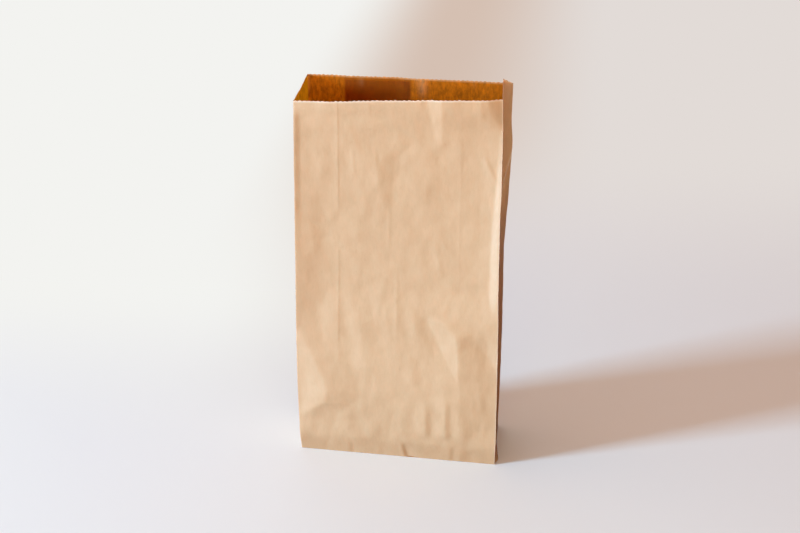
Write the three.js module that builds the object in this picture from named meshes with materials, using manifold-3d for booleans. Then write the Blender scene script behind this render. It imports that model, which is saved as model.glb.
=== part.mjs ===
// A brown kraft paper bag with gusseted sides and a flat block bottom, standing open on its base.
// Millimetres, +Z up. The front panel faces -Y and the origin lies under the middle of the bag.
import * as THREE from 'three';
import { mergeVertices } from 'three/addons/utils/BufferGeometryUtils.js';
import Module from 'manifold-3d';

const { clamp, lerp, smoothstep } = THREE.MathUtils;

// Sizes of the bag as it was cut, folded and glued
const panelWidth = 150;
const gussetDepth = 61.5;
const bagHeight = 284;
const paperThickness = 0.12;
const seamLap = 48;
const seamOffset = -20.5;
const flapOverlap = 16;
const toothPitch = 3.2;
const toothDepth = 0.9;

// Side gussets: how far each centre crease folds in, and how high the fold reaches up the side
const rightCreaseInset = 12;
const leftCreaseInset = 8;
const rightFoldTop = 190;
const leftFoldTop = 215;

// The right gusset near the mouth bends close to the back fold, which stands out as a sharp lip
const lipReach = 4.6;
const lipSetForward = 2.5;
const lipFoot = 150;
const lipFull = 235;
const bendInset = 3;
const bendFromBack = 4.5;
const bendLift = 1.7;
const lipDrop = 1.8;

// The stand of the bag after it was opened by hand
const baseFrontSkew = 5.8;
const mouthFrontSkew = -1;
const mouthLeftDrop = 3.2;
const leftFoldBow = 2;
const frontSag = 2;
const sagFlatness = 6;
const backBow = 1;

// Two dents low on the front panel, given as heights and distances from the middle of the panel
const pointedDent = { tipX: 48, tipZ: 69, valleyX: 24, crestX: 45, topZ: 114, fadeZ: 150, rise: 1.8, fall: 24 };
const cornerDent = { topZ: 97, tipZ: 53, tipFromFold: 24, press: 3, run: 20, footZ: 24 };

// Grid of the walls
const frontColumns = 24;
const gussetColumns = 5;
const backColumns = 12;
const baseRows = 6;
const foldRows = 16;
const mouthRows = 10;

// Sizes worked out from the ones above
const halfWidth = panelWidth / 2;
const halfGusset = gussetDepth / 2;
const baseTop = 2 * paperThickness;
const flapDepth = halfGusset + flapOverlap / 2;
const seamRamp = 2 * paperThickness;

// Share of the way up from one height to another, from 0 to 1
function shareUp(z, low, high) {
  return clamp((z - low) / (high - low), 0, 1);
}

// Distance that the front panel stands towards the viewer, from its sag and its two dents
function frontRelief(x, z) {
  const across = clamp(Math.abs(x) / halfWidth, 0, 1);
  const sag = -frontSag * (1 - Math.pow(across, sagFlatness)) * Math.sin(Math.PI * shareUp(z, 0, bagHeight));
  return sag + pointedRelief(x, z) + cornerRelief(x, z);
}

// A facet that rises from a slanting valley to an upright crest and ends in a point at its foot
function pointedRelief(x, z) {
  const up = shareUp(z, pointedDent.tipZ, pointedDent.topZ);
  const valley = lerp(pointedDent.tipX, pointedDent.valleyX, up) - 1;
  const crest = lerp(pointedDent.tipX, pointedDent.crestX, up) + 1;
  const fade = smoothstep(up, 0, 0.35) * (1 - smoothstep(z, pointedDent.topZ, pointedDent.fadeZ));
  const rise = clamp((x - valley) / (crest - valley), 0, 1);
  const fall = 1 - smoothstep(x, crest, crest + pointedDent.fall);
  return pointedDent.rise * fade * Math.min(rise, fall);
}

// The lower left corner is pressed back below a slanting crease that starts at the left fold
function cornerRelief(x, z) {
  const fromFold = x + halfWidth;
  const run = cornerDent.tipFromFold;
  const drop = cornerDent.topZ - cornerDent.tipZ;
  const below = ((cornerDent.topZ - z) * run - fromFold * drop) / Math.hypot(run, drop);
  return -cornerDent.press * smoothstep(below, 0, cornerDent.run) * smoothstep(z, 0, cornerDent.footZ);
}

// How far the front fold line turns about the middle of the front panel at a height
function frontSkew(z) {
  return lerp(baseFrontSkew, mouthFrontSkew, shareUp(z, 0, bagHeight));
}

// How far the back right fold stands out at a height
function lipShare(z) {
  return smoothstep(z, lipFoot, lipFull);
}

// Plan positions of the four upright folds at a height
function foldsAt(z) {
  const bow = leftFoldBow * Math.sin(Math.PI * Math.pow(1 - shareUp(z, 0, bagHeight), 2));
  const lip = lipShare(z);
  return {
    frontLeft: new THREE.Vector2(-halfWidth - bow, -halfGusset + frontSkew(z) - frontRelief(-halfWidth, z)),
    frontRight: new THREE.Vector2(halfWidth, -halfGusset - frontSkew(z)),
    backRight: new THREE.Vector2(halfWidth + lipReach * lip, halfGusset - lipSetForward * lip),
    backLeft: new THREE.Vector2(-halfWidth, halfGusset),
  };
}

// How far a gusset's centre crease lies inside the folds at a height
function creaseInset(z, full, atMouth, foldTop) {
  return lerp(full, atMouth, shareUp(z, foldTop, bagHeight));
}

// Plan position of the right gusset's inward bend, on its centre crease below and near the back fold above
function rightCrease(z) {
  const up = shareUp(z, rightFoldTop, bagHeight);
  return new THREE.Vector2(
    halfWidth - creaseInset(z, rightCreaseInset, bendInset, rightFoldTop),
    lerp(0, halfGusset - bendFromBack, up),
  );
}

// Plan position of the left gusset's centre crease, which opens flat at the mouth
function leftCrease(z) {
  return new THREE.Vector2(-halfWidth + creaseInset(z, leftCreaseInset, 0, leftFoldTop), 0);
}

// Point on a gusset, bent at its crease, with the flat triangle that the block bottom leaves at its foot
function gussetPoint(from, crease, to, share, z) {
  const straight = from.clone().lerp(to, share);
  const bent = share < 0.5 ? from.clone().lerp(crease, 2 * share) : crease.clone().lerp(to, 2 * share - 1);
  const tent = 1 - Math.abs(2 * share - 1);
  const up = shareUp(z, 0, halfGusset);
  return straight.lerp(bent, up < tent ? up / tent : 1);
}

// Shares from 0 up to, and without, 1 in equal steps
function evenShares(count) {
  return Array.from({ length: count }, (_, i) => i / count);
}

// Columns round the bag from the front left fold: which panel, how far along it and how many layers thick
function listColumns() {
  const seamMiddle = 0.5 - seamOffset / panelWidth;
  const seamHalf = seamLap / 2 / panelWidth;
  const ramp = seamRamp / panelWidth;
  const seam = [
    [seamMiddle - seamHalf - ramp, 1],
    [seamMiddle - seamHalf, 2],
    [seamMiddle + seamHalf, 2],
    [seamMiddle + seamHalf + ramp, 1],
  ];
  const clear = 0.5 / backColumns;
  const plainBack = evenShares(backColumns)
    .filter((share) => share < seam[0][0] - clear || share > seam[3][0] + clear)
    .map((share) => [share, 1]);
  const back = [...plainBack, ...seam].sort((a, b) => a[0] - b[0]);
  const single = (panel) => (share) => ({ panel, share, layers: 1 });
  return [
    ...evenShares(frontColumns).map(single('front')),
    ...evenShares(2 * gussetColumns).map(single('right')),
    ...back.map(([share, layers]) => ({ panel: 'back', share, layers })),
    ...evenShares(2 * gussetColumns).map(single('left')),
  ];
}

// Height of the mouth at a column, lower at the front left and at the lip, and raised at the right gusset's bend
function mouthHeight({ panel, share }) {
  if (panel === 'front') {
    return bagHeight - mouthLeftDrop * (1 - share);
  }
  if (panel === 'left') {
    return bagHeight - mouthLeftDrop * share;
  }
  if (panel === 'back') {
    return bagHeight - lipDrop * (1 - share);
  }
  const bend = share < 0.5 ? lerp(0, bendLift, 2 * share) : lerp(bendLift, -lipDrop, 2 * share - 1);
  return bagHeight + bend;
}

// Plan position of a column at a height
function columnAt({ panel, share }, z) {
  const folds = foldsAt(z);
  if (panel === 'front') {
    const point = folds.frontLeft.clone().lerp(folds.frontRight, share);
    const atFold = lerp(frontRelief(-halfWidth, z), 0, share);
    point.y -= frontRelief(lerp(-halfWidth, halfWidth, share), z) - atFold;
    return point;
  }
  if (panel === 'back') {
    const point = folds.backRight.clone().lerp(folds.backLeft, share);
    point.y += backBow * Math.sin(Math.PI * share) * shareUp(z, 0, bagHeight);
    return point;
  }
  return panel === 'right'
    ? gussetPoint(folds.frontRight, rightCrease(z), folds.backRight, share, z)
    : gussetPoint(folds.backLeft, leftCrease(z), folds.frontLeft, share, z);
}

// Outward direction at each corner of a closed plan outline, with the mitre kept short at sharp folds
function outwardNormals(points) {
  const count = points.length;
  const edges = points.map((p, i) => {
    const along = points[(i + 1) % count].clone().sub(p).normalize();
    return new THREE.Vector2(along.y, -along.x);
  });
  return points.map((_, i) => {
    const before = edges[(i + count - 1) % count];
    const normal = before.clone().add(edges[i]).normalize();
    return normal.divideScalar(Math.max(0.6, normal.dot(before)));
  });
}

// Heights of the rows from the base to just below the mouth
function listRows() {
  const stretch = (low, high, count) => evenShares(count).map((share) => lerp(low, high, share));
  return [
    ...stretch(baseTop, halfGusset, baseRows),
    ...stretch(halfGusset, rightFoldTop, foldRows),
    ...stretch(rightFoldTop, bagHeight - 2 * toothDepth, mouthRows),
    bagHeight - 2 * toothDepth,
  ];
}

// One row of the wall: its outer and inner corners
function wallRow(columns, z) {
  const plan = columns.map((column) => columnAt(column, z));
  const normals = outwardNormals(plan);
  const side = (sign) =>
    plan.map((p, i) => {
      const reach = (sign * paperThickness * columns[i].layers) / 2;
      const height = z * lerp(1, mouthHeight(columns[i]) / bagHeight, shareUp(z, halfGusset, bagHeight));
      return new THREE.Vector3(p.x + normals[i].x * reach, p.y + normals[i].y * reach, height);
    });
  return { outer: side(1), inner: side(-1) };
}

// Points of the saw-cut edge between two corners of the top row, from one valley to the next
function toothEdge(from, to, lift) {
  const teeth = Math.max(1, Math.round(from.distanceTo(to) / toothPitch));
  return Array.from({ length: 2 * teeth + 1 }, (_, i) => {
    const point = from.clone().lerp(to, i / (2 * teeth));
    point.z += lift + (i % 2) * toothDepth;
    return point;
  });
}

// Triangle soup that is turned into an indexed geometry once it is complete
class Facets {
  positions = [];

  triangle(a, b, c) {
    for (const p of [a, b, c]) {
      this.positions.push(p.x, p.y, p.z);
    }
  }

  quad(a, b, c, d) {
    this.triangle(a, b, c);
    this.triangle(a, c, d);
  }

  // Fills the gap between a straight lower edge and an upper edge of many points
  fan(low0, low1, upper, flip) {
    const middle = (upper.length - 1) / 2;
    const add = (a, b, c) => (flip ? this.triangle(a, c, b) : this.triangle(a, b, c));
    for (let i = 0; i < upper.length - 1; i += 1) {
      add(i < middle ? low0 : low1, upper[i + 1], upper[i]);
    }
    add(low0, low1, upper[middle]);
  }

  geometry() {
    const soup = new THREE.BufferGeometry();
    soup.setAttribute('position', new THREE.Float32BufferAttribute(this.positions, 3));
    return mergeVertices(soup, paperThickness / 20);
  }
}

// The tube of the four panels with its floor, as one closed sheet of paper
function bagWall() {
  const columns = listColumns();
  const rows = listRows().map((z) => wallRow(columns, z));
  rows[0].inner.forEach((p) => p.setZ(baseTop + paperThickness));
  const facets = new Facets();
  const count = columns.length;
  for (let r = 0; r < rows.length - 1; r += 1) {
    for (let i = 0; i < count; i += 1) {
      const j = (i + 1) % count;
      const [low, high] = [rows[r], rows[r + 1]];
      facets.quad(low.outer[i], low.outer[j], high.outer[j], high.outer[i]);
      facets.quad(low.inner[i], high.inner[i], high.inner[j], low.inner[j]);
    }
  }
  addMouth(facets, rows.at(-1), count);
  addFloor(facets, rows[0].outer, false);
  addFloor(facets, rows[0].inner, true);
  return facets.geometry();
}

// The saw-cut mouth above the top row
function addMouth(facets, top, count) {
  for (let i = 0; i < count; i += 1) {
    const j = (i + 1) % count;
    const outer = toothEdge(top.outer[i], top.outer[j], toothDepth);
    const inner = outer.map((p, k) => {
      const share = k / (outer.length - 1);
      const q = top.inner[i].clone().lerp(top.inner[j], share);
      return new THREE.Vector3(q.x, q.y, p.z);
    });
    facets.fan(top.outer[i], top.outer[j], outer, false);
    facets.fan(top.inner[i], top.inner[j], inner, true);
    for (let k = 0; k < outer.length - 1; k += 1) {
      facets.quad(outer[k], outer[k + 1], inner[k + 1], inner[k]);
    }
  }
}

// A floor across the foot of the wall, facing up on the inner side and down on the outer side
function addFloor(facets, ring, facesUp) {
  const centre = new THREE.Vector3(0, 0, ring[0].z);
  ring.forEach((p, i) => {
    const next = ring[(i + 1) % ring.length];
    const [first, second] = facesUp ? [p, next] : [next, p];
    facets.triangle(centre, first, second);
  });
}

// A bottom flap with its corners folded in at 45 degrees, from the ground up into the floor
function bottomFlap(fromFold, low) {
  const folds = foldsAt(0);
  const [left, right, farLeft, farRight] =
    fromFold === 'front'
      ? [folds.frontLeft, folds.frontRight, folds.backLeft, folds.backRight]
      : [folds.backLeft, folds.backRight, folds.frontLeft, folds.frontRight];
  const inward = (corner, far, turn) => {
    const over = far.clone().sub(corner).setLength(flapDepth);
    return new THREE.Vector2(corner.x + turn * flapDepth, corner.y + over.y);
  };
  const outline = [left, right, inward(right, farRight, -1), inward(left, farLeft, 1)];
  const shape = new THREE.Shape(outline);
  const flap = new THREE.ExtrudeGeometry(shape, { depth: baseTop + paperThickness / 2 - low, bevelEnabled: false });
  flap.translate(0, 0, low);
  return flap;
}

const wasm = await Module();
wasm.setup();

// A closed three.js geometry as a solid that can be joined
function toSolid(geometry) {
  const bare = geometry.clone();
  bare.deleteAttribute('normal');
  bare.deleteAttribute('uv');
  const merged = mergeVertices(bare, paperThickness / 20);
  return new wasm.Manifold(
    new wasm.Mesh({
      numProp: 3,
      vertProperties: new Float32Array(merged.attributes.position.array),
      triVerts: new Uint32Array(merged.index.array),
    }),
  );
}

// A joined solid back as a three.js geometry
function toGeometry(solid) {
  const mesh = solid.getMesh();
  const geometry = new THREE.BufferGeometry();
  geometry.setAttribute('position', new THREE.BufferAttribute(new Float32Array(mesh.vertProperties), 3));
  geometry.setIndex(new THREE.BufferAttribute(new Uint32Array(mesh.triVerts), 1));
  geometry.computeVertexNormals();
  return geometry;
}

const kraftPaper = new THREE.MeshStandardMaterial({ color: 0xc79b70, roughness: 0.85, metalness: 0 });

const frontFlap = toSolid(bottomFlap('front', 0));
const backFlap = toSolid(bottomFlap('back', paperThickness));
const bagGeometry = toGeometry(toSolid(bagWall()).add(backFlap).add(frontFlap));
bagGeometry.computeBoundingBox();
const middle = bagGeometry.boundingBox.getCenter(new THREE.Vector3());

const paperBag = new THREE.Mesh(bagGeometry, kraftPaper);
paperBag.name = 'paper_bag';
paperBag.position.set(-middle.x, -middle.y, -bagGeometry.boundingBox.min.z);

const model = new THREE.Group();
model.add(paperBag);

export default model;
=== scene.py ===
import math

import bpy
import numpy as np
from mathutils import Matrix, Vector


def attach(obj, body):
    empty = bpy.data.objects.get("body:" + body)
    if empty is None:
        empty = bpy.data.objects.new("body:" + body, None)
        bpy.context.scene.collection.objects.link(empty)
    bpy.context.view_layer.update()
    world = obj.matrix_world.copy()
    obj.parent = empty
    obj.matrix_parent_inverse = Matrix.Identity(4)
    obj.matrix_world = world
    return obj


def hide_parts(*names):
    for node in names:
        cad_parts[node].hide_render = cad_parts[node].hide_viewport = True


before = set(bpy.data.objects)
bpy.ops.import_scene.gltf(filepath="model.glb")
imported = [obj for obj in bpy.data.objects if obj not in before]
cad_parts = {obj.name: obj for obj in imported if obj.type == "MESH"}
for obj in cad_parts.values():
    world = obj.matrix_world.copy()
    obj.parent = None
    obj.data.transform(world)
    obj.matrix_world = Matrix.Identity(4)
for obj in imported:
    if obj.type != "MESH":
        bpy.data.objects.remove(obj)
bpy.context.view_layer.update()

# The bag is laid out in millimetres round the middle of its folds, and moved to the frame at the end
MM = 0.001
FOLDS_MIDDLE = np.array([1.33, -2.61])
PANEL_WIDTH = 150.0
GUSSET_DEPTH = 61.5
BAG_HEIGHT = 284.0
HALF_WIDTH = PANEL_WIDTH / 2
HALF_GUSSET = GUSSET_DEPTH / 2
PAPER_THICKNESS = 0.16
FLOOR_HEIGHT = 0.34

# Grid of the sheet
FRONT_COLUMNS = 170
GUSSET_COLUMNS = 32
BACK_COLUMNS = 64
WALL_ROWS = 152

# Saw-cut mouth: size of the teeth, points of the edge for each column of the sheet, and how uneven it is
TOOTH_PITCH = 3.3
TOOTH_DEPTH = 0.6
TOOTH_STEPS = 3
TOOTH_UNEVEN = (0.45, 1.15)
TOOTH_SEED = 5

# Height of the mouth over or under that of the bag, along the front and along the right gusset
FRONT_MOUTH_AT = [0.0, 0.18, 0.32, 0.5, 0.8, 1.0]
FRONT_MOUTH = [-3.9, -3.2, -2.1, -1.0, 0.6, 1.0]
RIGHT_MOUTH_AT = [0.0, 0.5, 1.0]
RIGHT_MOUTH = [1.0, 1.9, -1.8]

# Marks that the folded gussets left across the front and the back panel
FRONT_MARKS = [-43.2, 45.6]
BACK_MARKS = [-44.0, 44.5]

# Columns of the sheet round each mark of the front, and how far the other columns keep from it
MARK_COLUMNS = [-0.8, -0.4, 0.0, 0.4, 0.8]
MARK_CLEAR = 1.1

# Rounding of a crease, and the least width of a facet
CREASE_ROUND = 0.9
FACET_LEAST = 0.6

# Handling creases of each panel: seed, number, rise and lean
FRONT_CREASES = (12, 150, 0.10, 0.4)
BACK_CREASES = (23, 80, 0.14, 0.5)
RIGHT_CREASES = (31, 45, 0.16, 0.5)
LEFT_CREASES = (37, 45, 0.16, 0.5)

# Where the handling creases lie: place across, top end, length, and width of each side. On a gusset they
# are spread as if it were GUSSET_SPREAD wide, and fade out towards its folds
CREASE_ACROSS = (-72, 72)
CREASE_TOPS = (25, 285)
CREASE_LENGTHS = (14, 55)
CREASE_SIDES = (3, 11)
GUSSET_SPREAD = 140
GUSSET_HOLD = 12

# Strength of the facets and creases of the front panel, and how far it sags between its folds
RELIEF = 1.45
FRONT_SAG = 1.0

# Slope of the left end of the mouth, which tips back
MOUTH_TIP = 0.08

# Share of the relief at the edges of the front panel that its folds take up
FOLD_GIVE = 0.35

# Swell of the front over the glued bottom: heights of its bends, and how far the front stands out there
FOOT_BAND = 13.5
SWELL_HEIGHTS = [0.0, FOOT_BAND, 50.0, 190.0]
SWELL_OUT = [0.0, 2.9, 3.8, 0.0]
SWELL_ROUND = 2.0

# Swell of the back panel at the mouth
BACK_SWELL = 1.0

# Upright folds: turn of the front at the foot and at the mouth, bow of the front left fold, and tuck of
# the back right one at the foot
FOOT_TURN = 5.8
MOUTH_TURN = -1.0
LEFT_BOW = 2.0
FOOT_TUCK = -1.8

# Lip of the back right fold near the mouth, to the side and to the front
LIP_OUT = 4.2
LIP_FORWARD = 2.5

# Creases of the gussets: how far they lie in low down, and from the side and the back fold near the mouth
RIGHT_FOLD_IN = 9.0
LEFT_FOLD_IN = 8.0
MOUTH_CREASE_IN = 3.0
MOUTH_CREASE_FORE = 4.5

# Right gusset: the slanting crease of its bent half, with its lower end, rise, width and depth, the roll
# of that half, and the swell of the foot
SLANT_FOOT = 196.0
SLANT = 32.0
SLANT_WIDTH = 2.4
SLANT_DEPTH = 0.8
BENT_ROLL = 0.6
FOOT_SWELL = 2.4

# Back seam, where the sheet laps over itself: its edges and grid, and how far it lifts off the panel, in
# general and at the glued right edge
LAP_LEFT = -47.5
LAP_RIGHT = 0.5
LAP_COLUMNS = 26
LAP_ROWS = 100
LAP_LIFT = (0.1, -0.05)
LAP_GLUED = 14

# Bottom flaps: how far they reach over the middle, and the heights of the inner and the outer one
FLAP_OVERLAP = 8.0
INNER_FLAP_LEVEL = 0.2
OUTER_FLAP_LEVEL = 0.09

# How pale the upright folds are, partly rubbed paper and partly a painted highlight along them
FOLD_WEAR_AND_HIGHLIGHT = 0.45

# How much deeper in tone the paper is in a band along the foot, and painted shade deep in the folded right
# gusset and on the back seam, where less light comes through two layers
FOOT_DEEP = 0.20
GUSSET_PAINTED_SHADE = 0.95
LAP_PAINTED_SHADE = 0.48

# Ripple of the paper, in metres, and the angle past which a fold stays sharp
RIPPLE = {"Ripple height": 0.001, "Ripple size": 0.012, "Seed": 3.0}
GLUED_FLAT = {"Ripple height": 0.0, "Ripple size": 0.012, "Seed": 3.0}
SHARP_FOLD = math.radians(32)

# Floor and backdrop, in metres: front end, start and radius of the sweep, top, and half width
FLOOR_FRONT = -2.6
SWEEP_START = 1.9
SWEEP_RADIUS = 0.5
SWEEP_STEPS = 12
BACKDROP_TOP = 3.0
HALF_FLOOR = 3.6

# Camera: place from the foot of the front panel in metres, and its two angles
CAMERA_FROM_FRONT = (0.1397, -1.1991, 0.6171)
CAMERA_PITCH = math.radians(20.9)
CAMERA_YAW = math.radians(6.56)
LENS_LENGTH = 78.75
SENSOR_WIDTH = 36.0

# Point that the lamps face
BAG_MIDDLE = (0, 0, 0.14)


def smooth(value, low, high):
    """0 below low, 1 above high, and an S-curve between."""
    t = np.clip((value - low) / (high - low), 0.0, 1.0)
    return t * t * (3.0 - 2.0 * t)


def share_up(value, low, high):
    """0 below low, 1 above high, and a straight line between."""
    return np.clip((value - low) / (high - low), 0.0, 1.0)


def between(value, low, high, soft):
    """1 between low and high, 0 beyond them, with both ends soft."""
    return smooth(value, low - soft, low + soft) * (1.0 - smooth(value, high - soft, high + soft))


def mix(a, b, t):
    """a where t is 0, b where it is 1."""
    return a + (b - a) * t


def bend(distance, radius=CREASE_ROUND):
    """0 before a crease and the distance past it, rounded by the radius at the crease itself."""
    return 0.5 * (distance + np.sqrt(distance * distance + radius * radius))


def profile(x, creases, heights, radius=CREASE_ROUND):
    """A cross-section of straight stretches between creases, level before the first and after the last."""
    slopes = [0.0]
    for k in range(len(creases) - 1):
        slopes.append((heights[k + 1] - heights[k]) / (creases[k + 1] - creases[k]))
    slopes.append(0.0)
    return sum((slopes[k + 1] - slopes[k]) * bend(x - creases[k], radius) for k in range(len(creases)))


def edge_at(z, edge):
    """Place of an edge at each height, from its points listed from the top down."""
    return np.interp(z, [point[1] for point in reversed(edge)], [point[0] for point in reversed(edge)])


def fade_at(z, edge, soft):
    """1 along an edge, and 0 beyond its two ends, which are soft over the two given lengths."""
    top, foot = edge[0][1], edge[-1][1]
    return (1.0 - smooth(z, top - soft[0], top)) * smooth(z, foot, foot + soft[1])


def facet(x, z, left, right, tilt, relax=(12, 12), share=0.5, soft=(8, 8), radius=CREASE_ROUND):
    """A tilted facet between two edges, and how the paper comes back to the panel on its two sides.

    tilt is the slope of the facet, towards the viewer on the right. share is the part of its rise that
    the left side takes, over the first length of relax. The right side takes the rest over the second.
    """
    a = edge_at(z, left)
    b = np.maximum(edge_at(z, right), a + FACET_LEAST)
    rise = tilt * (b - a)
    creases = [a - relax[0], a, b, b + relax[1]]
    heights = [0.0, -share * rise, (1.0 - share) * rise, 0.0]
    return profile(x, creases, heights, radius) * fade_at(z, left, soft)


def ridge(x, z, line, rise, left, right, soft=(10, 10)):
    """A crease along a line that stands out by rise, with a slope of its own width on each side."""
    middle = edge_at(z, line)
    radius = min(CREASE_ROUND, 0.25 * min(left, right))
    section = profile(x, [middle - left, middle, middle + right], [0.0, rise, 0.0], radius)
    return section * fade_at(z, line, soft)


def random_creases(x, z, seed, count, rise, lean):
    """Light handling creases spread over a panel, mostly upright, each with two uneven slopes."""
    draw = np.random.default_rng(seed)
    total = np.zeros_like(x)
    for _ in range(count):
        x0 = draw.uniform(*CREASE_ACROSS)
        z0 = draw.uniform(*CREASE_TOPS)
        length = draw.uniform(*CREASE_LENGTHS)
        slant = draw.normal(0.0, lean)
        line = [(x0, z0), (x0 + length * slant, z0 - length)]
        height = rise * draw.normal(0.0, 1.0)
        left, right = draw.uniform(*CREASE_SIDES, size=2)
        total += ridge(x, z, line, height, left, right, (0.45 * length, 0.45 * length))
    return total


# Facets of the front panel, each with the values that facet() takes: left edge, right edge, tilt, widths of
# the two sides, share of the left side, softness of the two ends and rounding
FRONT_FACETS = [
    # margins that roll out to the two upright folds
    ([(-75, 278), (-75, 140)], [(-70.8, 278), (-70, 140)], -0.20, (5, 5), 1.0, (6, 110)),
    (
        [(-80, 240), (-80, 104)],
        [(-52, 240), (-54, 150), (-60, 128), (-74, 104)],
        -0.085, (5, 5), 1.0, (70, 14), 5.0,
    ),
    (
        [(73, 268), (72, 232), (70, 200), (68.5, 160), (68.5, 135), (71, 112)],
        [(75, 268), (75, 112)],
        0.38, (5, 5), 0.0, (40, 26),
    ),
    ([(62, 262), (60, 195), (60, 140), (66, 112)], [(75, 262), (75, 112)], 0.05, (5, 5), 0.0, (40, 26)),
    # right corner of the mouth, bent back
    ([(59, 292), (60, 272), (75.5, 256)], [(75.5, 292), (76, 256)], -0.12, (6, 5), 0.0, (0.1, 8)),
    ([(64, 292), (66, 274), (75.5, 261)], [(75.5, 292), (76, 261)], -0.14, (6, 5), 0.0, (0.1, 5)),
    # facet left of the middle, turned away, with an upright edge on its right
    ([(-18, 253), (-14, 224), (-9, 196)], [(-2.5, 253), (-3.5, 196)], -0.09, (22, 16), 0.6, (20, 16)),
    # pale facet under the mouth
    ([(20, 290), (28, 247)], [(32, 290), (32.5, 247)], 0.125, (14, 26), 0.4, (0.1, 8)),
    # soft facets below it
    ([(33, 264), (37, 228)], [(43, 264), (45, 228)], 0.04, (8, 8), 0.5, (12, 16)),
    ([(20, 236), (22, 190)], [(31, 236), (30, 190)], -0.03, (10, 10), 0.5, (20, 20)),
    # facets that slant across the middle
    (
        [(-50, 140), (-57, 118), (-46, 93), (-46, 56)],
        [(-44.5, 140), (-44.5, 56)],
        0.075, (18, 10), 0.5, (20, 30), 1.8,
    ),
    (
        [(-42, 150), (-38, 104), (-29, 56)],
        [(-37, 150), (-26, 98), (-23.5, 56)],
        0.08, (8, 14), 0.45, (34, 16), 2.2,
    ),
    ([(-23, 150), (-13, 86)], [(-13, 150), (-3, 86)], 0.035, (10, 8), 0.45, (22, 26)),
    ([(-2, 140), (5, 90)], [(3, 140), (9, 90)], -0.07, (10, 7), 0.6, (20, 14)),
    ([(11, 130), (17, 90)], [(20, 130), (23, 90)], -0.07, (9, 7), 0.6, (18, 14)),
    ([(9.5, 88), (15, 56)], [(15, 88), (21, 56)], -0.08, (12, 12), 0.6, (8, 10)),
    # pointed facet low on the right, and the panel falling away beside it
    (
        [(20, 120), (33, 92), (45.6, 68)],
        [(24, 120), (36, 112), (44.5, 104), (45.6, 90), (46.2, 68)],
        0.145, (10, 22), 0.3, (8, 1), 0.5,
    ),
    (
        [(47, 116), (48, 8)],
        [(51, 116), (59, 101), (69, 87), (75, 76), (75, 8)],
        -0.08, (20, 12), 0.22, (22, 20),
    ),
    ([(60, 94), (61, 60)], [(66, 94), (66, 60)], -0.04, (5, 8), 0.5, (10, 14)),
    # dent across the lower left corner
    (
        [(-75, 104), (-75, 26)],
        [(-74, 104), (-62.5, 80), (-56, 68), (-52.5, 54), (-55.5, 43), (-66, 36), (-74, 26)],
        0.15, (5, 24), 0.6, (4, 8), 1.6,
    ),
    # folds at the bottom edge
    ([(2.5, 14), (7, -4)], [(5.0, 14), (9.2, -4)], -0.42, (3, 8), 0.35, (6, 0.1)),
    ([(40.5, 13), (40.5, -4)], [(43, 13), (43, -4)], -0.13, (4, 2), 0.5, (5, 0.1)),
    ([(-38, 12), (-37, -4)], [(-35, 12), (-34, -4)], -0.14, (5, 3), 0.5, (4, 0.1)),
    ([(-14, 11), (-14, -4)], [(-11, 11), (-11, -4)], -0.08, (5, 5), 0.5, (4, 0.1)),
    ([(48, 12), (48, -4)], [(57, 12), (57, -4)], -0.06, (4, 6), 0.5, (4, 0.1)),
]

# Single creases of the front panel, each with the values that ridge() takes: line, rise, width of the left
# and of the right side, softness of the two ends
FRONT_RIDGES = [
    # marks left by the folded gussets
    ([(-43.2, 290), (-43.2, 196)], 0.12, 3.0, 0.8, (0.1, 16)),
    ([(-43.2, 172), (-43.2, 84)], 0.085, 2.0, 0.8, (8, 16)),
    ([(45.6, 262), (45.6, 126)], 0.045, 1.4, 1.4, (12, 30)),
    # short curved crease near the right fold
    ([(61.5, 245), (65.5, 235), (72.5, 220)], 0.42, 4.5, 2.0, (7, 5)),
    # fine upright creases in the middle
    ([(-5.5, 206), (-6, 164)], 0.12, 2.2, 1.6, (10, 10)),
    ([(0.5, 156), (0, 86)], 0.13, 2.4, 1.6, (12, 20)),
    ([(-33, 250), (-31, 224)], 0.16, 2.5, 2.0, (8, 8)),
    ([(-14, 246), (-13, 232)], -0.16, 2.0, 2.0, (4, 6)),
    ([(-20, 284), (-20, 268)], 0.1, 3.0, 1.6, (0.1, 6)),
    # little curved crease right of the middle
    ([(33, 178), (35.5, 171), (41, 166)], 0.22, 2.6, 2.4, (4, 3)),
    # puckers over the glued bottom
    ([(-66, 44), (-66, 14)], 0.33, 8, 5.5, (14, 9)),
    ([(-37, 44), (-37, 15)], 0.38, 9, 6, (14, 9)),
    ([(-19, 34), (-18, 12)], 0.33, 8, 7, (12, 8)),
    ([(4.5, 52), (4.5, 16)], 0.35, 8, 7, (18, 9)),
    ([(22, 56), (22, 16)], 0.66, 8, 4.2, (18, 9)),
    ([(37, 60), (37, 16)], 0.84, 8, 4.2, (18, 9)),
    ([(50.5, 44), (50.5, 15)], 0.35, 7, 7, (14, 9)),
    ([(63, 40), (63, 16)], -0.3, 6, 9, (12, 9)),
]


def front_relief(x, z):
    """How far the front panel stands out towards the viewer."""
    across = np.clip(np.abs(x) / HALF_WIDTH, 0.0, 1.0)
    body = np.sin(np.pi * share_up(z, 0, BAG_HEIGHT)) ** 0.6
    relief = random_creases(x, z, *FRONT_CREASES)
    for part in FRONT_FACETS:
        relief += facet(x, z, *part)
    for part in FRONT_RIDGES:
        relief += ridge(x, z, *part)
    # the left end of the mouth tips back, above a line that rises to the right
    above = z - mix(270.0, 276.0, share_up(x, -75, -45))
    relief -= bend(above, 2.5) * MOUTH_TIP * (1.0 - smooth(x, -62, -46))
    return RELIEF * relief - FRONT_SAG * (1.0 - across**4) * body


def front_bulge(z):
    """How far the whole front stands out over the glued bottom, where the foot curls under."""
    return profile(z, SWELL_HEIGHTS, SWELL_OUT, SWELL_ROUND)


# Upright bends of the back panel near the mouth: places across, and how far the panel stands in there
BACK_BENDS_X = [-75, -56, -43, -10, 5, 50, 75]
BACK_BENDS_IN = [0.0, -0.6, 1.0, -0.7, 0.8, -0.3, 0.0]
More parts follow.
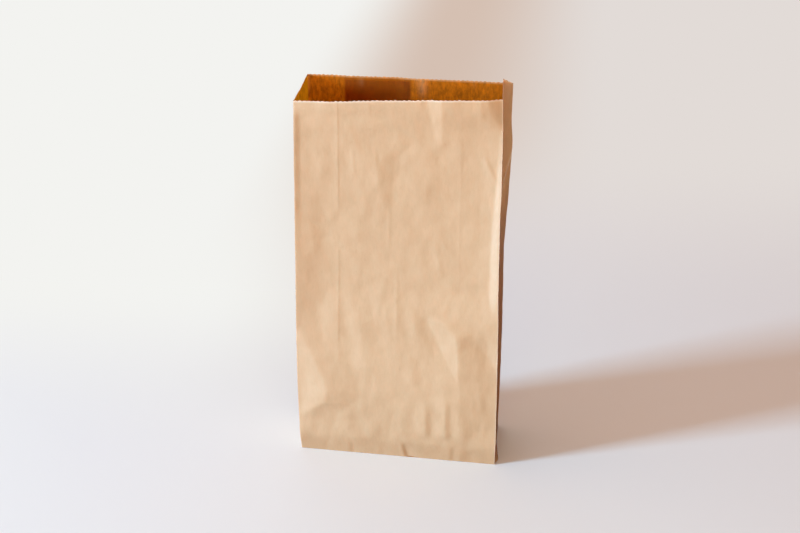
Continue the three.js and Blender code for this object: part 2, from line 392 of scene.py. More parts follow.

# Painted highlights on creases of the back panel at the mouth, where crumples catch the light: place, half
# width, depth below the mouth, how pale
PAINTED_CREASE_HIGHLIGHTS = [
    (-36.0, 1.2, 11.0, 0.35),
    (9.3, 2.8, 19.0, 0.5),
    (5.5, 0.9, 9.0, 0.3),
    (46.0, 0.8, 9.0, 0.3),
]


def back_relief(x, z):
    """How far the back panel stands out, away from the bag."""
    bends = -np.interp(x, BACK_BENDS_X, BACK_BENDS_IN) * mix(0.35, 1.0, smooth(z, 90, 230))
    marks = sum(ridge(x, z, [(mark, 290), (mark, 60)], 0.2, 1.8, 1.8, (0.1, 40)) for mark in BACK_MARKS)
    return bends + marks + random_creases(x, z, *BACK_CREASES)


def bag_folds(z):
    """Plan positions of the four upright folds at each height."""
    up = share_up(z, 0, BAG_HEIGHT)
    skew = mix(FOOT_TURN, MOUTH_TURN, up)
    bow = LEFT_BOW * np.sin(np.pi * (1.0 - up) ** 2)
    lip = smooth(z, 150, 235)
    # small sways of the folds along their height
    kink = 0.5 * np.exp(-(((z - 238) / 9.0) ** 2)) - 0.4 * np.exp(-(((z - 258) / 10.0) ** 2))
    tuck = FOOT_TUCK * (1.0 - share_up(z, 0, 85)) ** 1.2 + 0.35 * between(z, 160, 198, 10)
    left_sway = 0.25 + 0.45 * between(z, 165, 255, 20) + 0.3 * (1.0 - smooth(z, 5, 60))
    right_sway = 0.55 * between(z, 208, 275, 12) + 0.5 * between(z, 15, 125, 15)
    front_left = np.stack([-HALF_WIDTH - bow - left_sway, -HALF_GUSSET + skew], -1)
    front_right = np.stack([HALF_WIDTH + right_sway, -HALF_GUSSET - skew], -1)
    back_right_x = HALF_WIDTH + LIP_OUT * lip + kink * lip + tuck
    back_right = np.stack([back_right_x, HALF_GUSSET - LIP_FORWARD * lip], -1)
    back_left = np.stack([np.full_like(z, -HALF_WIDTH), np.full_like(z, HALF_GUSSET)], -1)
    return front_left, front_right, back_right, back_left


def gusset_foot(share, z):
    """1 where a gusset is folded in, fading to 0 over the flat triangle at its foot."""
    tent = 1.0 - np.abs(2.0 * share - 1.0)
    up = share_up(z, 0, HALF_GUSSET)
    return np.where(up < tent, up / np.maximum(tent, 1e-6), 1.0)


def slant_crease(rear, z):
    """1 along the crease that slants across the rear half of the right gusset."""
    return np.exp(-(((z - SLANT_FOOT - SLANT * rear) / SLANT_WIDTH) ** 2)) * smooth(rear, 0.1, 0.3)


def right_gusset(share, z, front, back):
    """The right gusset: folded in low down, and bent close to the back fold near the mouth."""
    rear = np.clip(2.0 * share - 1.0, 0.0, 1.0)
    turn = z - SLANT * rear
    up = smooth(turn, 105, 205)[..., None]
    low = np.array([HALF_WIDTH - RIGHT_FOLD_IN, 0.0])
    high = np.array([HALF_WIDTH - MOUTH_CREASE_IN, HALF_GUSSET - MOUTH_CREASE_FORE])
    crease = mix(low, high, up)
    fore = np.clip(2.0 * share, 0.0, 1.0)[..., None]
    bent = np.where(share[..., None] < 0.5, mix(front, crease, fore), mix(crease, back, rear[..., None]))
    bent[..., 1] -= SLANT_DEPTH * slant_crease(rear, z) * np.sin(np.pi * rear)
    # the bent half rolls clear of the back panel next to the back fold
    bent[..., 1] -= BENT_ROLL * smooth(turn, 150, 235) * np.sqrt(np.sin(np.pi * rear))
    straight = mix(front, back, share[..., None])
    wall = mix(straight, bent, gusset_foot(share, z)[..., None])
    # the foot swells out to the side next to the front fold
    swell = FOOT_SWELL * smooth(share, 0.0, 0.12) * (1.0 - smooth(share, 0.14, 0.6))
    wall[..., 0] += swell * (1.0 - smooth(z, 3, 30))
    return wall


def left_gusset(share, z, back, front):
    """The left gusset: folded in low down, and opened flat at the mouth."""
    inset = mix(LEFT_FOLD_IN, 0.0, share_up(z, 215, BAG_HEIGHT))
    crease = np.stack([-HALF_WIDTH + inset, np.zeros_like(z)], -1)
    half = share[..., None]
    bent = np.where(half < 0.5, mix(back, crease, 2.0 * half), mix(crease, front, 2.0 * half - 1.0))
    straight = mix(back, front, half)
    return mix(straight, bent, gusset_foot(share, z)[..., None])


def mouth_height(panel, share):
    """Height of the mouth along each panel."""
    if panel == "front":
        line = np.interp(share, FRONT_MOUTH_AT, FRONT_MOUTH)
        return BAG_HEIGHT + line + 0.12 * np.sin(share * 19.0) * np.sin(share * np.pi)
    if panel == "left":
        return BAG_HEIGHT + FRONT_MOUTH[0] * share
    if panel == "back":
        return BAG_HEIGHT + RIGHT_MOUTH[-1] * (1.0 - share)
    return BAG_HEIGHT + np.interp(share, RIGHT_MOUTH_AT, RIGHT_MOUTH)


def bag_columns():
    """Panel, share along the panel and mouth height of every column round the bag."""
    counts = {
        "front": FRONT_COLUMNS,
        "right": GUSSET_COLUMNS,
        "back": BACK_COLUMNS,
        "left": GUSSET_COLUMNS,
    }
    names, shares, tops = [], [], []
    for panel, count in counts.items():
        share = np.arange(count) / count
        if panel == "front":
            # columns run close together at the two marks
            marks = np.array(FRONT_MARKS)
            extra = (marks[:, None] + np.array(MARK_COLUMNS)).ravel()
            x = share * PANEL_WIDTH - HALF_WIDTH
            clear = np.abs(x[:, None] - marks).min(1) > MARK_CLEAR
            share = np.sort(np.concatenate([share[clear], (extra + HALF_WIDTH) / PANEL_WIDTH]))
        names += [panel] * len(share)
        shares.append(share)
        tops.append(mouth_height(panel, share))
    return np.array(names), np.concatenate(shares), np.concatenate(tops)


def wall_points(names, shares, rows):
    """Plan position of every column at every row height, in millimetres."""
    z = np.repeat(rows[:, None], len(shares), 1)
    share = np.repeat(shares[None, :], len(rows), 0)
    front_left, front_right, back_right, back_left = bag_folds(z)
    edge = np.full_like(z[:, :1], HALF_WIDTH)
    left_end = front_relief(-edge, z[:, :1])
    right_end = front_relief(edge, z[:, :1])
    front_left[..., 1] -= FOLD_GIVE * left_end + front_bulge(z)
    front_right[..., 1] -= FOLD_GIVE * right_end + front_bulge(z)
    plan = np.zeros(z.shape + (2,))

    here = names == "front"
    s = share[:, here][..., None]
    flat = mix(front_left[:, here], front_right[:, here], s)
    x = mix(-HALF_WIDTH, HALF_WIDTH, share[:, here])
    flat[..., 1] -= front_relief(x, z[:, here]) - mix(left_end, right_end, s[..., 0])
    plan[:, here] = flat

    here = names == "right"
    plan[:, here] = right_gusset(share[:, here], z[:, here], front_right[:, here], back_right[:, here])

    here = names == "back"
    s = share[:, here][..., None]
    flat = mix(back_right[:, here], back_left[:, here], s)
    x = mix(HALF_WIDTH, -HALF_WIDTH, share[:, here])
    hold = smooth(np.minimum(share[:, here], 1.0 - share[:, here]), 0.0, 0.11)
    swell = BACK_SWELL * np.sin(np.pi * share[:, here]) * z[:, here] / BAG_HEIGHT
    flat[..., 1] += (back_relief(x, z[:, here]) + swell) * hold
    plan[:, here] = flat

    here = names == "left"
    plan[:, here] = left_gusset(share[:, here], z[:, here], back_left[:, here], front_left[:, here])

    # handling creases of the gussets, held at their folds
    for panel, out, creases in (("right", 1.0, RIGHT_CREASES), ("left", -1.0, LEFT_CREASES)):
        here = names == panel
        x = (share[:, here] - 0.5) * GUSSET_SPREAD
        hold = np.minimum(1.0, np.minimum(share[:, here], 1.0 - share[:, here]) * GUSSET_HOLD)
        plan[:, here, 0] += out * hold * random_creases(x, z[:, here], *creases)
    return plan, z


def bag_sheet():
    """Points and faces of the folded sheet, without thickness: four walls, a floor and a saw-cut mouth."""
    names, shares, tops = bag_columns()
    count = len(shares)
    rows = np.concatenate([[0.0], np.linspace(1.2, BAG_HEIGHT - 1.6, WALL_ROWS)])
    plan, z = wall_points(names, shares, rows)
    stretch = mix(1.0, tops / BAG_HEIGHT, share_up(z, HALF_GUSSET, BAG_HEIGHT))
    height = np.maximum(z * stretch, FLOOR_HEIGHT)
    points = np.concatenate([plan, height[..., None]], -1).reshape(-1, 3).tolist()
    faces = []
    for r in range(len(rows) - 1):
        for i in range(count):
            j = (i + 1) % count
            faces.append((r * count + i, r * count + j, (r + 1) * count + j, (r + 1) * count + i))
    centre = len(points)
    points.append([0.0, 0.0, FLOOR_HEIGHT])
    faces += [(centre, (i + 1) % count, i) for i in range(count)]

    top = np.array(points[(len(rows) - 1) * count:len(rows) * count])
    add_mouth(points, faces, top, tops, (len(rows) - 1) * count)
    return np.array(points), faces


def wear_and_highlight_share(points):
    """1 on the cut edge of the mouth, and less along the folds, on the slanting crease and on creases of
    the back panel. The cut edge, folds and slanting crease are partly paler paper and partly a painted
    highlight, and the creases of the back panel are painted highlights.
    """
    names, shares, _ = bag_columns()
    count = len(shares)
    wear_and_highlight = np.zeros(len(points))
    wall = (WALL_ROWS + 1) * count
    z = points[:wall, 2].reshape(-1, count)
    shown = np.zeros_like(z)
    # the upright folds and the slanting crease are paler, partly as a painted highlight
    shown[:, shares == 0.0] = FOLD_WEAR_AND_HIGHLIGHT
    rear = np.clip(2.0 * shares - 1.0, 0.0, 1.0)
    shown = np.maximum(shown, slant_crease(rear, z) * (names == "right"))
    x = mix(HALF_WIDTH, -HALF_WIDTH, shares)
    # painted highlights on creases of the back panel near the mouth
    for place, half, depth, pale in PAINTED_CREASE_HIGHLIGHTS:
        near_mouth = smooth(z, BAG_HEIGHT - depth, BAG_HEIGHT - 0.4 * depth)
        painted_highlight = np.exp(-(((x - place) / half) ** 2)) * near_mouth
        shown = np.maximum(shown, pale * painted_highlight * (names == "back"))
    wear_and_highlight[:wall] = shown.ravel()
    # the cut edge of the mouth is palest, partly paler cut fibres and partly a painted highlight
    wear_and_highlight[wall + 1:] = 1.0
    return wear_and_highlight


def deep_tone_and_shade(points):
    """How much deeper the paper is in tone along the foot, with painted shade in the folded right gusset
    and on the back seam.
    """
    edge = FOOT_BAND + 1.2 * np.sin(points[:, 0] * 0.23) + 0.8 * np.sin(points[:, 0] * 0.61 + 1.0)
    deep = FOOT_DEEP * (1.0 - smooth(points[:, 2], edge - 6.0, edge + 4.5))
    names, shares, _ = bag_columns()
    count = len(shares)
    wall = (WALL_ROWS + 1) * count
    z = points[:wall, 2].reshape(-1, count)
    # painted shade deep in the folded right gusset, next to its back fold and low down
    painted_fold_shade = smooth(2.0 * shares - 1.0, 0.2, 0.75) * (names == "right")
    painted_fold_shade = GUSSET_PAINTED_SHADE * painted_fold_shade * (1.0 - smooth(z, 70, 200))
    x = mix(HALF_WIDTH, -HALF_WIDTH, shares)
    # painted shade on the back seam, where less light comes through two layers of paper
    painted_lap_shade = LAP_PAINTED_SHADE * between(x, LAP_LEFT, LAP_RIGHT, 1.2) * (names == "back")
    deep[:wall] = np.maximum(deep[:wall], (painted_fold_shade + painted_lap_shade).ravel())
    return deep


def add_mouth(points, faces, top, tops, start):
    """The strip above the last row, cut to a saw edge that is a little uneven."""
    draw = np.random.default_rng(TOOTH_SEED)
    count = len(top)
    step = np.linalg.norm(np.roll(top, -1, 0) - top, axis=1)
    travelled = np.concatenate([[0.0], np.cumsum(step)])
    reach = travelled[-1]
    teeth = round(reach / TOOTH_PITCH)
    depths = TOOTH_DEPTH * draw.uniform(*TOOTH_UNEVEN, size=teeth)
    first = len(points)
    for i in range(count):
        j = (i + 1) % count
        for k in range(TOOTH_STEPS):
            t = k / TOOTH_STEPS
            place = mix(top[i], top[j], t)
            phase = (travelled[i] + step[i] * t) / reach * teeth
            tooth = depths[int(phase) % teeth] * (1.0 - abs(2.0 * (phase % 1.0) - 1.0))
            points.append([place[0], place[1], mix(tops[i], tops[j], t) - 0.2 * TOOTH_DEPTH + tooth])
    total = count * TOOTH_STEPS
    for i in range(count):
        j = (i + 1) % count
        upper = [first + (i * TOOTH_STEPS + k) % total for k in range(TOOTH_STEPS + 1)]
        # one face and two corners fill the strip between two columns
        faces.append((start + i, start + j, upper[2], upper[1]))
        faces.append((start + i, upper[1], upper[0]))
        faces.append((start + j, upper[3], upper[2]))


def to_frame(points):
    """Millimetres round the folds to metres in the frame."""
    placed = np.array(points, dtype=float)
    placed[:, :2] -= FOLDS_MIDDLE
    return placed * MM


def mark_points(piece, name, values):
    """Keeps a value from 0 to 1 on every point, for the material to read."""
    piece.data.attributes.new(name, "FLOAT", "POINT").data.foreach_set("value", values)


def new_piece(name, points, faces, materials):
    """A mesh object from points in millimetres."""
    mesh = bpy.data.meshes.new(name)
    mesh.from_pydata(to_frame(points).tolist(), [], [tuple(f) for f in faces])
    mesh.validate()
    piece = bpy.data.objects.new(name, mesh)
    bpy.context.scene.collection.objects.link(piece)
    for material in materials:
        mesh.materials.append(material)
    return piece


def cockle_tree(paper):
    """Geometry nodes that ripple a sheet along its normals, as damp air does to paper."""
    tree = bpy.data.node_groups.new("paper_cockle", "GeometryNodeTree")
    face = tree.interface
    face.new_socket("Sheet", in_out="INPUT", socket_type="NodeSocketGeometry")
    for name, value in (("Ripple height", 0.0), ("Ripple size", 1.0), ("Seed", 0.0)):
        face.new_socket(name, in_out="INPUT", socket_type="NodeSocketFloat").default_value = value
    face.new_socket("Rippled sheet", in_out="OUTPUT", socket_type="NodeSocketGeometry")
    node, link = tree.nodes.new, tree.links.new
    group_in, group_out = node("NodeGroupInput"), node("NodeGroupOutput")
    noise = node("ShaderNodeTexNoise")
    noise.noise_dimensions = "4D"
    noise.inputs["Detail"].default_value = 2.0
    noise.inputs["Roughness"].default_value = 0.45
    divide = node("ShaderNodeMath")
    divide.operation = "DIVIDE"
    divide.inputs[0].default_value = 1.0
    centred = node("ShaderNodeMath")
    centred.operation = "SUBTRACT"
    centred.inputs[1].default_value = 0.5
    scaled = node("ShaderNodeMath")
    scaled.operation = "MULTIPLY"
    normal = node("GeometryNodeInputNormal")
    offset = node("ShaderNodeVectorMath")
    offset.operation = "SCALE"
    move = node("GeometryNodeSetPosition")
    realize = node("GeometryNodeRealizeInstances")
    dress = node("GeometryNodeSetMaterial")
    dress.inputs["Material"].default_value = paper
    link(group_in.outputs["Ripple size"], divide.inputs[1])
    link(divide.outputs[0], noise.inputs["Scale"])
    link(group_in.outputs["Seed"], noise.inputs["W"])
    link(noise.outputs["Fac"], centred.inputs[0])
    link(centred.outputs[0], scaled.inputs[0])
    link(group_in.outputs["Ripple height"], scaled.inputs[1])
    link(normal.outputs[0], offset.inputs[0])
    link(scaled.outputs[0], offset.inputs["Scale"])
    link(group_in.outputs["Sheet"], move.inputs["Geometry"])
    link(offset.outputs[0], move.inputs["Offset"])
    link(move.outputs[0], realize.inputs[0])
    link(realize.outputs[0], dress.inputs["Geometry"])
    link(dress.outputs[0], group_out.inputs[0])
    return tree


def finish_sheet(piece, tree, settings):
    """Ripples a sheet, gives it the thickness of paper and leaves a plain mesh."""
    ripple = piece.modifiers.new("cockle", "NODES")
    ripple.node_group = tree
    for item in tree.interface.items_tree:
        if item.name in settings:
            ripple[item.identifier] = settings[item.name]
    solid = piece.modifiers.new("paper", "SOLIDIFY")
    solid.thickness = PAPER_THICKNESS * MM
    solid.offset = 0.0
    solid.use_even_offset = False
    solid.material_offset = 1
    graph = bpy.context.evaluated_depsgraph_get()
    mesh = bpy.data.meshes.new_from_object(piece.evaluated_get(graph))
    piece.modifiers.clear()
    piece.data = mesh
    mesh.name = piece.name
    for polygon in mesh.polygons:
        polygon.use_smooth = True
    mesh.set_sharp_from_angle(angle=SHARP_FOLD)


def lap_sheet():
    """The outer layer of the back seam, lying on the back panel."""
    x = np.linspace(LAP_LEFT, LAP_RIGHT, LAP_COLUMNS)
    rows = np.concatenate([[1.0], np.linspace(4.0, BAG_HEIGHT - 3.4, LAP_ROWS)])
    wide = len(x)
    plan, height = wall_points(np.array(["back"] * wide), (HALF_WIDTH - x) / PANEL_WIDTH, rows)
    lift = PAPER_THICKNESS + mix(*LAP_LIFT, share_up(x, LAP_RIGHT - LAP_GLUED, LAP_RIGHT))
    points = np.stack([plan[..., 0], plan[..., 1] + lift, height], -1).reshape(-1, 3)
    faces = [
        (r * wide + c, (r + 1) * wide + c, (r + 1) * wide + c + 1, r * wide + c + 1)
        for r in range(len(rows) - 1)
        for c in range(wide - 1)
    ]
    return points, faces


def flap_sheets():
    """The two bottom flaps with their corners folded in, one lapped over the other."""
    front_left, front_right, back_right, back_left = [f[0] for f in bag_folds(np.zeros(1))]
    reach = HALF_GUSSET + FLAP_OVERLAP
    flaps = [
        (back_left, back_right, -reach, INNER_FLAP_LEVEL),
        (front_left, front_right, reach, OUTER_FLAP_LEVEL),
    ]
    points, faces = [], []
    for left, right, inward, level in flaps:
        corners = [left, right, right + [-reach, inward], left + [reach, inward]]
        start = len(points)
        points += [[c[0], c[1], level] for c in corners]
        order = (3, 2, 1, 0) if inward > 0 else (0, 1, 2, 3)
        faces.append(tuple(start + k for k in order))
    return np.array(points), faces


def socket(group, name, way, kind, value=None):
    """A named input or output of a shader group."""
    made = group.interface.new_socket(name, in_out=way, socket_type=kind)
    if value is not None:
        made.default_value = value


def kraft_group():
    """Shader group for kraft paper: cloudy tone, fine fibres, dark flecks, deeper places that are partly
    painted shade, and pale places that are partly wear and partly painted highlight.
    """
    group = bpy.data.node_groups.new("kraft_sheet", "ShaderNodeTree")
    socket(group, "Paper", "INPUT", "NodeSocketColor", (0.7, 0.5, 0.3, 1.0))
    socket(group, "Deep", "INPUT", "NodeSocketColor", (0.5, 0.3, 0.15, 1.0))
    socket(group, "Cloud", "INPUT", "NodeSocketFloat", 0.3)
    socket(group, "Flecks", "INPUT", "NodeSocketFloat", 0.3)
    socket(group, "Pale", "INPUT", "NodeSocketColor", (0.9, 0.75, 0.55, 1.0))
    socket(group, "Color", "OUTPUT", "NodeSocketColor")
    socket(group, "Roughness", "OUTPUT", "NodeSocketFloat")
    socket(group, "Height", "OUTPUT", "NodeSocketFloat")
    node, link = group.nodes.new, group.links.new
    group_in, group_out = node("NodeGroupInput"), node("NodeGroupOutput")
    place = node("ShaderNodeTexCoord")

    def noise(scale, detail, roughness, stretch=(1.0, 1.0, 1.0)):
        turn = node("ShaderNodeMapping")
        turn.inputs["Scale"].default_value = stretch
        link(place.outputs["Object"], turn.inputs["Vector"])
        made = node("ShaderNodeTexNoise")
        made.inputs["Scale"].default_value = scale
        made.inputs["Detail"].default_value = detail
        made.inputs["Roughness"].default_value = roughness
        link(turn.outputs["Vector"], made.inputs["Vector"])
        return made.outputs["Fac"]

    def math_node(kind, a, b):
        made = node("ShaderNodeMath")
        made.operation = kind
        for slot, value in zip(made.inputs, (a, b)):
            if isinstance(value, (int, float)):
                slot.default_value = value
            else:
                link(value, slot)
        return made.outputs[0]

    def remap(value, low, high):
        made = node("ShaderNodeMapRange")
        made.inputs["From Min"].default_value = low
        made.inputs["From Max"].default_value = high
        link(value, made.inputs["Value"])
        return made.outputs["Result"]

    clouds = noise(scale=55.0, detail=4.0, roughness=0.6)
    fibres = noise(scale=900.0, detail=3.0, roughness=0.6, stretch=(1.0, 1.0, 0.22))
    cross_fibres = noise(scale=1300.0, detail=2.0, roughness=0.5, stretch=(0.3, 0.3, 1.0))
    specks = noise(scale=420.0, detail=1.0, roughness=0.4, stretch=(1.0, 1.0, 0.5))
    cloud = remap(clouds, low=0.3, high=0.7)
    fibre = remap(fibres, low=0.32, high=0.68)
    cross = remap(cross_fibres, low=0.35, high=0.65)
    fleck = remap(specks, low=0.70, high=0.76)
    mottled = math_node("ADD", math_node("MULTIPLY", cloud, 0.55), math_node("MULTIPLY", fibre, 0.45))
    amount = math_node("MULTIPLY", mottled, group_in.outputs["Cloud"])
    amount = math_node("ADD", amount, math_node("MULTIPLY", fleck, group_in.outputs["Flecks"]))
    # the deep mark darkens the paper: a band along the foot, and painted shade in the folded right gusset
    # and on the back seam
    deep = node("ShaderNodeAttribute")
    deep.attribute_name = "deep"
    amount = math_node("ADD", amount, deep.outputs["Fac"])
    tint = node("ShaderNodeMix")
    tint.data_type = "RGBA"
    link(amount, tint.inputs["Factor"])
    link(group_in.outputs["Paper"], tint.inputs["A"])
    link(group_in.outputs["Deep"], tint.inputs["B"])
    # the pale mark read here is partly paler cut edges and rubbed folds, and partly painted highlights
    wear_and_highlight = node("ShaderNodeAttribute")
    wear_and_highlight.attribute_name = "wear_and_highlight"
    pale = node("ShaderNodeMix")
    pale.data_type = "RGBA"
    link(wear_and_highlight.outputs["Fac"], pale.inputs["Factor"])
    link(tint.outputs["Result"], pale.inputs["A"])
    link(group_in.outputs["Pale"], pale.inputs["B"])
    link(pale.outputs["Result"], group_out.inputs["Color"])
    rough = math_node("ADD", 0.5, math_node("MULTIPLY", fibre, 0.14))
    link(rough, group_out.inputs["Roughness"])
    height = math_node("ADD", math_node("MULTIPLY", fibre, 0.6), math_node("MULTIPLY", cross, 0.4))
    link(height, group_out.inputs["Height"])
    return group


def srgb(red, green, blue):
    """A colour given as 0 to 255 on screen, as scene-linear values."""
    def linear(v):
        v /= 255.0
        return v / 12.92 if v <= 0.04045 else ((v + 0.055) / 1.055) ** 2.4
    return (linear(red), linear(green), linear(blue), 1.0)


def patchy_glow(tree, glow, glow_low):
    """Colour of the light through the paper, in uneven patches that the deep mark evens out: on two layers
    of paper, in the darker foot band and in the painted shade of the folded gusset.
    """
    node, link = tree.nodes.new, tree.links.new
    place = node("ShaderNodeTexCoord")
    stretch = node("ShaderNodeMapping")
    stretch.inputs["Scale"].default_value = (1.0, 1.0, 0.42)
    formation = node("ShaderNodeTexNoise")
    formation.inputs["Scale"].default_value = 380.0
    formation.inputs["Detail"].default_value = 5.0
    formation.inputs["Roughness"].default_value = 0.68
    patches = node("ShaderNodeMapRange")
    patches.inputs["From Min"].default_value = 0.34
    patches.inputs["From Max"].default_value = 0.66
    deep_marks = node("ShaderNodeAttribute")
    deep_marks.attribute_name = "deep"
    hidden = node("ShaderNodeMapRange")
    hidden.inputs["From Max"].default_value = 0.55
    even = node("ShaderNodeMix")
    even.inputs["B"].default_value = 0.45
    lights = node("ShaderNodeMix")
    lights.data_type = "RGBA"
    lights.inputs["A"].default_value = tuple(glow_low * c for c in glow[:3]) + (1.0,)
    lights.inputs["B"].default_value = glow
    link(place.outputs["Object"], stretch.inputs["Vector"])
    link(stretch.outputs["Vector"], formation.inputs["Vector"])
    link(formation.outputs["Fac"], patches.inputs["Value"])
    link(deep_marks.outputs["Fac"], hidden.inputs["Value"])
    link(hidden.outputs["Result"], even.inputs["Factor"])
    link(patches.outputs["Result"], even.inputs["A"])
    link(even.outputs["Result"], lights.inputs["Factor"])
    return lights.outputs["Result"]


def kraft_material(name, group, paper, deep, pale, cloud, flecks, gloss, glow, glow_low, pass_share):
    """Matt kraft paper that lets part of the light through, in patches where glow_low is below 1."""
    material = bpy.data.materials.new(name)
    material.use_nodes = True
    tree = material.node_tree
    tree.nodes.clear()
    node, link = tree.nodes.new, tree.links.new
    out = node("ShaderNodeOutputMaterial")
    sheet = node("ShaderNodeGroup")
    sheet.node_tree = group
    sheet.inputs["Paper"].default_value = paper
    sheet.inputs["Deep"].default_value = deep
    sheet.inputs["Cloud"].default_value = cloud
    sheet.inputs["Flecks"].default_value = flecks
    sheet.inputs["Pale"].default_value = pale
    face = node("ShaderNodeBsdfPrincipled")
    face.inputs["IOR"].default_value = 1.5
    face.inputs["Specular IOR Level"].default_value = gloss
    bump = node("ShaderNodeBump")
    bump.inputs["Strength"].default_value = 0.25
    bump.inputs["Distance"].default_value = 0.0001
    link(sheet.outputs["Height"], bump.inputs["Height"])
    link(bump.outputs["Normal"], face.inputs["Normal"])
    link(sheet.outputs["Color"], face.inputs["Base Color"])
    link(sheet.outputs["Roughness"], face.inputs["Roughness"])
    through = node("ShaderNodeBsdfTranslucent")
    through.inputs["Color"].default_value = glow
    if glow_low < 1.0:
        link(patchy_glow(tree, glow, glow_low), through.inputs["Color"])
    blend = node("ShaderNodeMixShader")
    blend.inputs["Fac"].default_value = pass_share
    link(face.outputs[0], blend.inputs[1])
    link(through.outputs[0], blend.inputs[2])
    link(blend.outputs[0], out.inputs["Surface"])
    return material


def stage_material(name, floor, bounce, left, right, column):
    """A pale floor that fades into an evenly lit backdrop for the camera, and throws back less light.

    Only camera rays see the backdrop: the bag has no metal or glass, and light that comes through its
    paper counts as transmission.
    """
    material = bpy.data.materials.new(name)
    material.use_nodes = True
    node, link = material.node_tree.nodes.new, material.node_tree.links.new
    face = material.node_tree.nodes["Principled BSDF"]
    out = material.node_tree.nodes["Material Output"]
    face.inputs["Roughness"].default_value = 1.0
    face.inputs["Specular IOR Level"].default_value = 0.0
    place = node("ShaderNodeTexCoord")
    split = node("ShaderNodeSeparateXYZ")
    link(place.outputs["Object"], split.inputs[0])
    seen = node("ShaderNodeLightPath").outputs["Is Camera Ray"]

    def ramp(axis, low, high):
        """0 at low and 1 at high, in metres along an axis."""
        made = node("ShaderNodeMapRange")
        made.interpolation_type = "SMOOTHSTEP"
        made.inputs["From Min"].default_value = low
        made.inputs["From Max"].default_value = high
        link(split.outputs[axis], made.inputs["Value"])
        return made.outputs["Result"]

    def combine(kind, a, b):
        made = node("ShaderNodeMath")
        made.operation = kind
        link(a, made.inputs[0])
        link(b, made.inputs[1])
        return made.outputs[0]

    def blend(share, a, b):
        made = node("ShaderNodeMix")
        made.data_type = "RGBA"
        link(share, made.inputs["Factor"])
        for slot, value in (("A", a), ("B", b)):
            if isinstance(value, tuple):
                made.inputs[slot].default_value = value
            else:
                link(value, made.inputs[slot])
        return made.outputs["Result"]

    link(blend(seen, bounce, floor), face.inputs["Base Color"])
    # painted shade on the backdrop: a warm column of shade stands between the pale left and the right,
    # which is greyer, also as painted shade
    across = combine("MULTIPLY", ramp("X", -0.28, -0.09), ramp("X", 0.16, -0.07))
    shaded = combine("MULTIPLY", across, ramp("Y", 0.2, 1.1))
    sides = blend(ramp("X", -0.22, 0.0), left, right)
    backdrop = node("ShaderNodeEmission")
    link(blend(shaded, sides, column), backdrop.inputs["Color"])
    # the floor fades out behind the bag, first on the lit left side, and far off in front and at the sides
    lit_side = combine("MULTIPLY", ramp("Y", -0.08, 0.3), ramp("X", -0.05, -0.1))
    reach = combine("MAXIMUM", ramp("Y", 0.2, 0.8), lit_side)
    for axis, low, high in (("Y", -0.35, -0.8), ("X", -0.2, -0.6), ("X", 0.5, 1.1)):
        reach = combine("MAXIMUM", reach, ramp(axis, low, high))
    fade = node("ShaderNodeMixShader")
    link(combine("MULTIPLY", seen, reach), fade.inputs["Fac"])
    link(face.outputs[0], fade.inputs[1])
    link(backdrop.outputs[0], fade.inputs[2])
    link(fade.outputs[0], out.inputs["Surface"])
    return material


def pale_stage():
    """A floor that sweeps up into a backdrop behind the bag."""
    outline = [(FLOOR_FRONT, 0.0), (SWEEP_START, 0.0)]
    for k in range(1, SWEEP_STEPS + 1):
        angle = k / SWEEP_STEPS * math.pi / 2
        rise = SWEEP_RADIUS * (1.0 - math.cos(angle))
        outline.append((SWEEP_START + SWEEP_RADIUS * math.sin(angle), rise))
    outline.append((SWEEP_START + SWEEP_RADIUS, BACKDROP_TOP))
    points, faces = [], []
    for y, z in outline:
        points += [(-HALF_FLOOR, y, z), (HALF_FLOOR, y, z)]
    for k in range(len(outline) - 1):
        faces.append((2 * k, 2 * k + 1, 2 * k + 3, 2 * k + 2))
    mesh = bpy.data.meshes.new("pale_floor")
    mesh.from_pydata(points, [], faces)
    for polygon in mesh.polygons:
        polygon.use_smooth = True
    floor = bpy.data.objects.new("pale_floor", mesh)
    bpy.context.scene.collection.objects.link(floor)
    surface = stage_material(
        "pale_surface",
        floor=srgb(231, 229, 224),
        bounce=srgb(154, 148, 146),
        left=srgb(243, 243, 240),
        right=srgb(226, 219, 215),
        column=srgb(213, 192, 178),
    )
    mesh.materials.append(surface)


def soft_light(name, place, width, height, power, colour):
    """A soft lamp that faces the bag and isn't seen itself."""
    lamp = bpy.data.lights.new(name, "AREA")
    lamp.shape = "RECTANGLE"
    lamp.size = width
    lamp.size_y = height
    lamp.energy = power
    lamp.color = colour
    holder = bpy.data.objects.new(name, lamp)
    holder.visible_camera = False
    bpy.context.scene.collection.objects.link(holder)
    holder.location = place
    holder.rotation_mode = "QUATERNION"
    holder.rotation_quaternion = (Vector(BAG_MIDDLE) - Vector(place)).to_track_quat("-Z", "Y")


def photo_camera():
    """The viewpoint of the photograph: a little to the right of the bag and above it."""
    lens = bpy.data.cameras.new("camera")
    lens.sensor_width = SENSOR_WIDTH
    lens.lens = LENS_LENGTH
    lens.clip_end = 50.0
    camera = bpy.data.objects.new("camera", lens)
    bpy.context.scene.collection.objects.link(camera)
    level = math.cos(CAMERA_PITCH)
    forward = Vector((-math.sin(CAMERA_YAW) * level, math.cos(CAMERA_YAW) * level, -math.sin(CAMERA_PITCH)))
    right = Vector((math.cos(CAMERA_YAW), math.sin(CAMERA_YAW), 0.0))
    up = right.cross(forward)
    turn = Matrix((right, up, -forward)).transposed().to_4x4()
    place = np.array(CAMERA_FROM_FRONT) + to_frame([[0.0, -HALF_GUSSET, 0.0]])[0]
    camera.matrix_world = Matrix.Translation(Vector(place)) @ turn
    bpy.context.scene.camera = camera


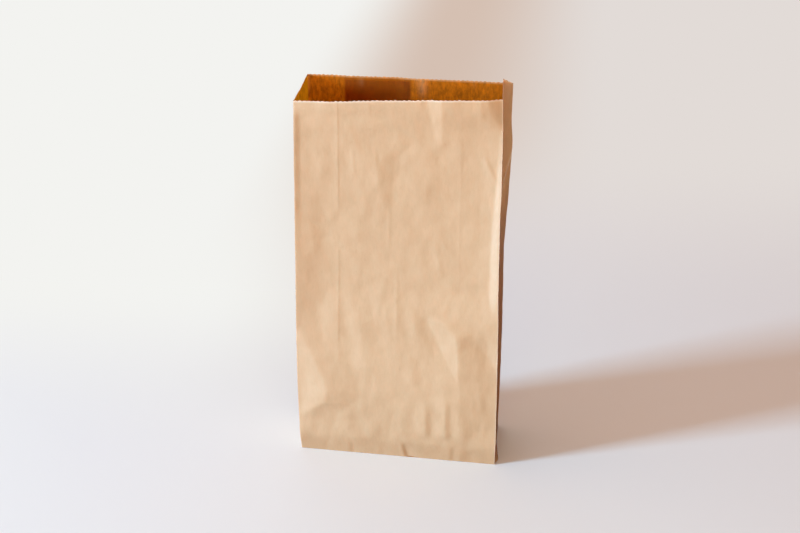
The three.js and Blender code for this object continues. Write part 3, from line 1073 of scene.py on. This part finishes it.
def surrounding_light(strength, right_strength):
    """Warm light of a room from all round, weaker from the right, and a pale background for the camera."""
    world = bpy.data.worlds.new("studio")
    world.use_nodes = True
    node, link = world.node_tree.nodes.new, world.node_tree.links.new
    back = world.node_tree.nodes["Background"]
    rays = node("ShaderNodeLightPath")
    tint = node("ShaderNodeMix")
    tint.data_type = "RGBA"
    tint.inputs["A"].default_value = (1.0, 0.64, 0.535, 1.0)
    tint.inputs["B"].default_value = srgb(238, 235, 231)
    link(rays.outputs["Is Camera Ray"], tint.inputs["Factor"])
    link(tint.outputs["Result"], back.inputs["Color"])
    place = node("ShaderNodeTexCoord")
    split = node("ShaderNodeSeparateXYZ")
    fall = node("ShaderNodeMapRange")
    fall.inputs["From Max"].default_value = 0.8
    fall.inputs["To Min"].default_value = strength
    fall.inputs["To Max"].default_value = right_strength
    link(place.outputs["Generated"], split.inputs[0])
    link(split.outputs["X"], fall.inputs["Value"])
    level = node("ShaderNodeMath")
    level.operation = "MAXIMUM"
    link(fall.outputs["Result"], level.inputs[0])
    link(rays.outputs["Is Camera Ray"], level.inputs[1])
    link(level.outputs[0], back.inputs["Strength"])
    bpy.context.scene.world = world


bpy.context.scene.view_settings.view_transform = "Standard"
photo_camera()
pale_stage()
surrounding_light(strength=0.79, right_strength=0.12)
soft_light(
    "window_light", (-2.83, -1.42, 0.72), width=0.6, height=1.1, power=258.0, colour=(0.42, 0.72, 1.0)
)
soft_light("low_fill", (0.3, -2.3, 0.5), width=1.2, height=0.5, power=26.0, colour=(1.0, 0.98, 0.66))
soft_light("back_fill", (-0.5, 1.7, 0.3), width=1.2, height=0.3, power=14.0, colour=(0.85, 0.92, 1.0))

sheet_group = kraft_group()
kraft = kraft_material(
    "kraft_paper",
    sheet_group,
    paper=srgb(235, 198, 156),
    deep=srgb(203, 153, 108),
    pale=srgb(252, 234, 208),
    cloud=0.32,
    flecks=0.12,
    gloss=0.8,
    glow=(1.0, 0.50, 0.08, 1.0),
    glow_low=1.0,
    pass_share=0.42,
)
# the inner face of the sheet is darker and more orange than the outside, as painted shade of the bag's
# inside
kraft_inside_painted_shade = kraft_material(
    "kraft_inside_painted_shade",
    sheet_group,
    paper=srgb(214, 126, 14),
    deep=srgb(145, 70, 4),
    pale=srgb(252, 205, 150),
    cloud=0.45,
    flecks=0.2,
    gloss=0.25,
    glow=(0.86, 0.47, 0.03, 1.0),
    glow_low=0.38,
    pass_share=0.66,
)
cockle = cockle_tree(kraft)

bag_points, bag_faces = bag_sheet()
paper_bag = new_piece("paper_bag_sheet", bag_points, bag_faces, [kraft, kraft_inside_painted_shade])
mark_points(paper_bag, "wear_and_highlight", wear_and_highlight_share(bag_points))
mark_points(paper_bag, "deep", deep_tone_and_shade(bag_points))
finish_sheet(paper_bag, cockle, RIPPLE)
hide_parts("paper_bag")
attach(paper_bag, "root")

lap_points, lap_faces = lap_sheet()
back_lap = new_piece("back_seam_lap", lap_points, lap_faces, [kraft, kraft_inside_painted_shade])
finish_sheet(back_lap, cockle, RIPPLE)
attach(back_lap, "root")

flap_points, flap_faces = flap_sheets()
bottom_flaps = new_piece("bottom_flaps", flap_points, flap_faces, [kraft, kraft_inside_painted_shade])
finish_sheet(bottom_flaps, cockle, GLUED_FLAT)
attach(bottom_flaps, "root")
